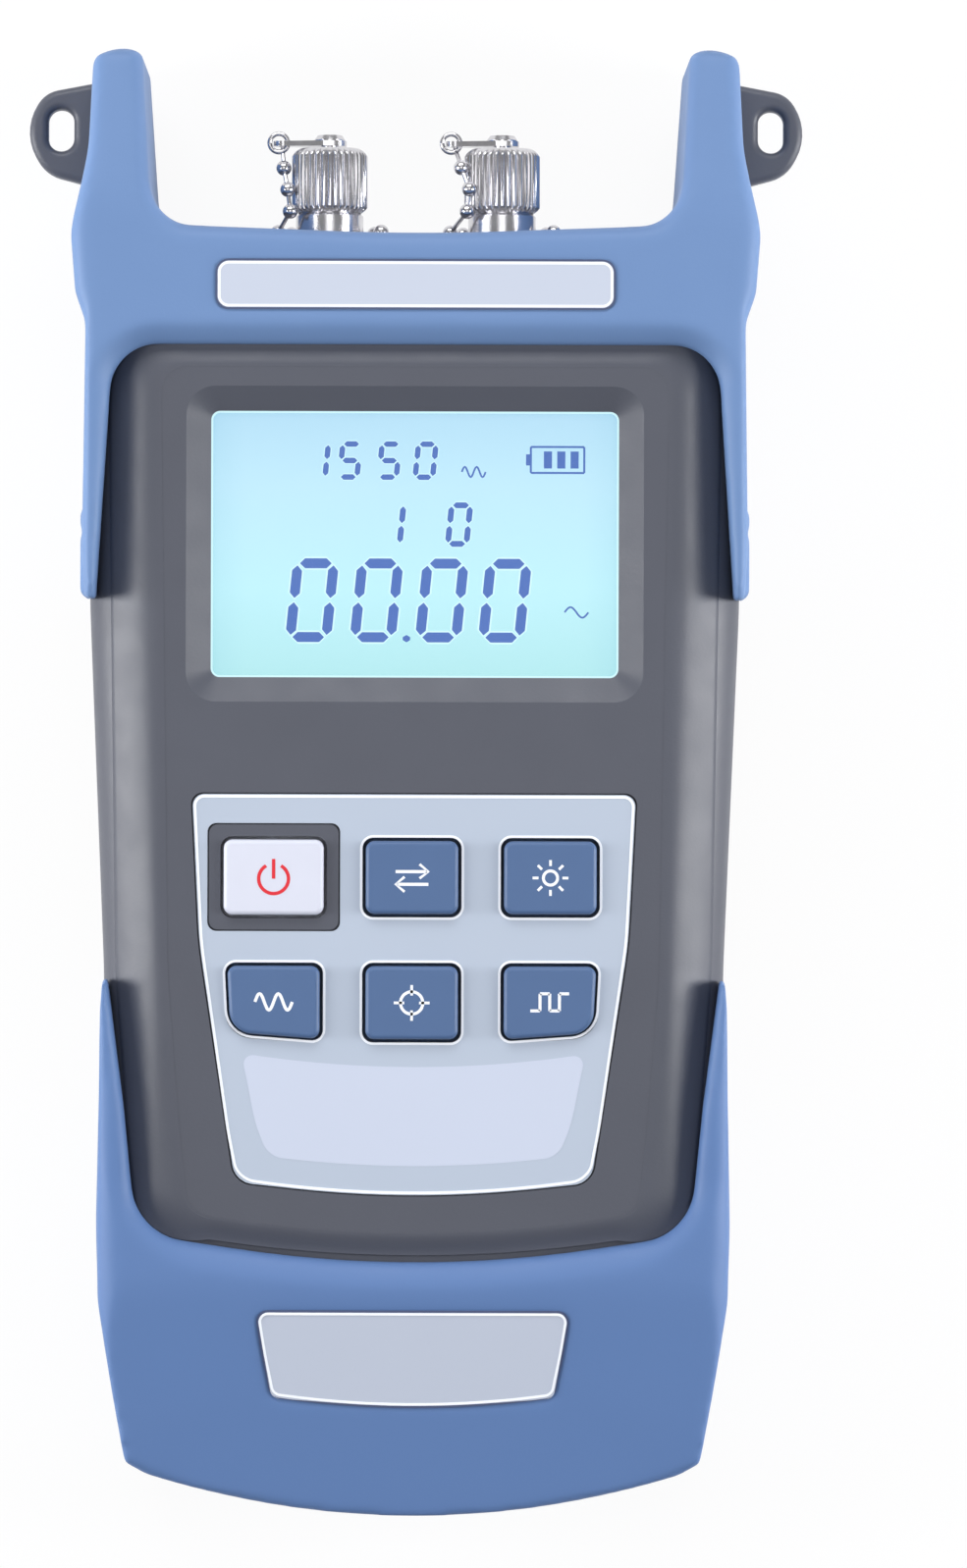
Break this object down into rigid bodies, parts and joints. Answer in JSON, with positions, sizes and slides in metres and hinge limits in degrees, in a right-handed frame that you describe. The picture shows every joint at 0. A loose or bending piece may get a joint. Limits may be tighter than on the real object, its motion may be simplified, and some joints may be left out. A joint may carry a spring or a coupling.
{
  "type": "optical power meter",
  "caption": "Handheld optical power meter with fault-locating laser: grey case in a two-part blue rubber boot with horns, lit display, keypad, two capped fibre ports and lanyard lugs.",
  "frame": {"origin": "centre of the meter's outline on the surface it lies on, back down", "axes": "+X to the meter's right, +Y towards the fibre ports, +Z out of the display"},
  "size_m": [0.1054, 0.2, 0.0411],
  "materials": {
    "grey_housing": "fine matte moulding",
    "blue_rubber": "satin soft rubber",
    "label": "satin sheet",
    "clear": "clear acrylic",
    "lcd_glass": "backlit liquid crystal glass",
    "white_plastic": "white moulding",
    "black_rubber": "conductive rubber",
    "plate": "satin printed sheet",
    "blue_key": "satin moulding",
    "board": "solder mask",
    "black_plastic": "moulding",
    "steel": "plated steel",
    "chrome": "bright nickel",
    "cell_wrap": "plain printed wrap",
    "ceramic": "white ceramic"
  },
  "bodies": {
    "casing": {"front_housing": "grey_housing", "rear_housing": "grey_housing", "top_bumper": "blue_rubber", "bottom_bumper": "blue_rubber", "top_label_plate": "label", "bottom_label_plate": "label", "lcd_window": "clear", "lcd_frame": "black_plastic", "lcd_backlight": "white_plastic", "zebra_strip": "black_rubber", "lcd_panel": "lcd_glass", "keypad_plate": "plate", "main_board": "board", "key_switches": "black_plastic", "board_screws": "steel", "case_screws": "steel", "battery_1": "cell_wrap", "battery_2": "cell_wrap", "battery_3": "cell_wrap", "battery_springs": "steel", "contact_plates": "steel", "port_panel": "grey_housing", "left_port_body": "chrome", "left_ferrule_sleeve": "ceramic", "left_port_nut": "chrome", "left_neck_ring": "chrome", "right_port_body": "chrome", "right_ferrule_sleeve": "ceramic", "right_port_nut": "chrome", "right_neck_ring": "chrome", "detector_module": "steel", "laser_module": "steel"},
    "power_key": {"power_key": "white_plastic"},
    "upper_middle_key": {"upper_middle_key": "blue_key"},
    "upper_right_key": {"upper_right_key": "blue_key"},
    "lower_left_key": {"lower_left_key": "blue_key"},
    "lower_middle_key": {"lower_middle_key": "blue_key"},
    "lower_right_key": {"lower_right_key": "blue_key"},
    "left_tether": {"left_cap_link": "chrome", "left_chain": "chrome"},
    "left_cap": {"left_dust_cap": "chrome"},
    "right_tether": {"right_cap_link": "chrome", "right_chain": "chrome"},
    "right_cap": {"right_dust_cap": "chrome"},
    "battery_door": {"battery_cover": "grey_housing"}
  },
  "joints": [
    {"name": "power_key_press", "type": "slide", "parent": "casing", "child": "power_key", "axis": [0, 0, -1], "range_m": [0, 0.0009], "stiffness_N_per_m": 600, "springref_m": -0.0008},
    {"name": "upper_middle_key_press", "type": "slide", "parent": "casing", "child": "upper_middle_key", "axis": [0, 0, -1], "range_m": [0, 0.0009], "stiffness_N_per_m": 600, "springref_m": -0.0008},
    {"name": "upper_right_key_press", "type": "slide", "parent": "casing", "child": "upper_right_key", "axis": [0, 0, -1], "range_m": [0, 0.0009], "stiffness_N_per_m": 600, "springref_m": -0.0008},
    {"name": "lower_left_key_press", "type": "slide", "parent": "casing", "child": "lower_left_key", "axis": [0, 0, -1], "range_m": [0, 0.0009], "stiffness_N_per_m": 600, "springref_m": -0.0008},
    {"name": "lower_middle_key_press", "type": "slide", "parent": "casing", "child": "lower_middle_key", "axis": [0, 0, -1], "range_m": [0, 0.0009], "stiffness_N_per_m": 600, "springref_m": -0.0008},
    {"name": "lower_right_key_press", "type": "slide", "parent": "casing", "child": "lower_right_key", "axis": [0, 0, -1], "range_m": [0, 0.0009], "stiffness_N_per_m": 600, "springref_m": -0.0008},
    {"name": "left_cap_lift", "type": "slide", "parent": "casing", "child": "left_tether", "axis": [0, 1, 0], "range_m": [0, 0.0075], "deforming": ["left_chain"]},
    {"name": "left_cap_turn", "type": "hinge", "parent": "left_tether", "child": "left_cap", "pos_m": [-0.01175, 0.081, 0.0205], "axis": [0, 1, 0], "range_deg": [0, 3600]},
    {"name": "right_cap_lift", "type": "slide", "parent": "casing", "child": "right_tether", "axis": [0, 1, 0], "range_m": [0, 0.0075], "deforming": ["right_chain"]},
    {"name": "right_cap_turn", "type": "hinge", "parent": "right_tether", "child": "right_cap", "pos_m": [0.01175, 0.081, 0.0205], "axis": [0, 1, 0], "range_deg": [0, 3600]},
    {"name": "battery_door_swing", "type": "hinge", "parent": "casing", "child": "battery_door", "pos_m": [0, -0.0574, 0.0025], "axis": [-1, 0, 0], "range_deg": [0, 60]}
  ],
  "couplings": [
    {"joint": "left_cap_turn", "follows": "left_cap_lift", "rad_per_m": 8377.6},
    {"joint": "right_cap_turn", "follows": "right_cap_lift", "rad_per_m": 8377.6}
  ]
}
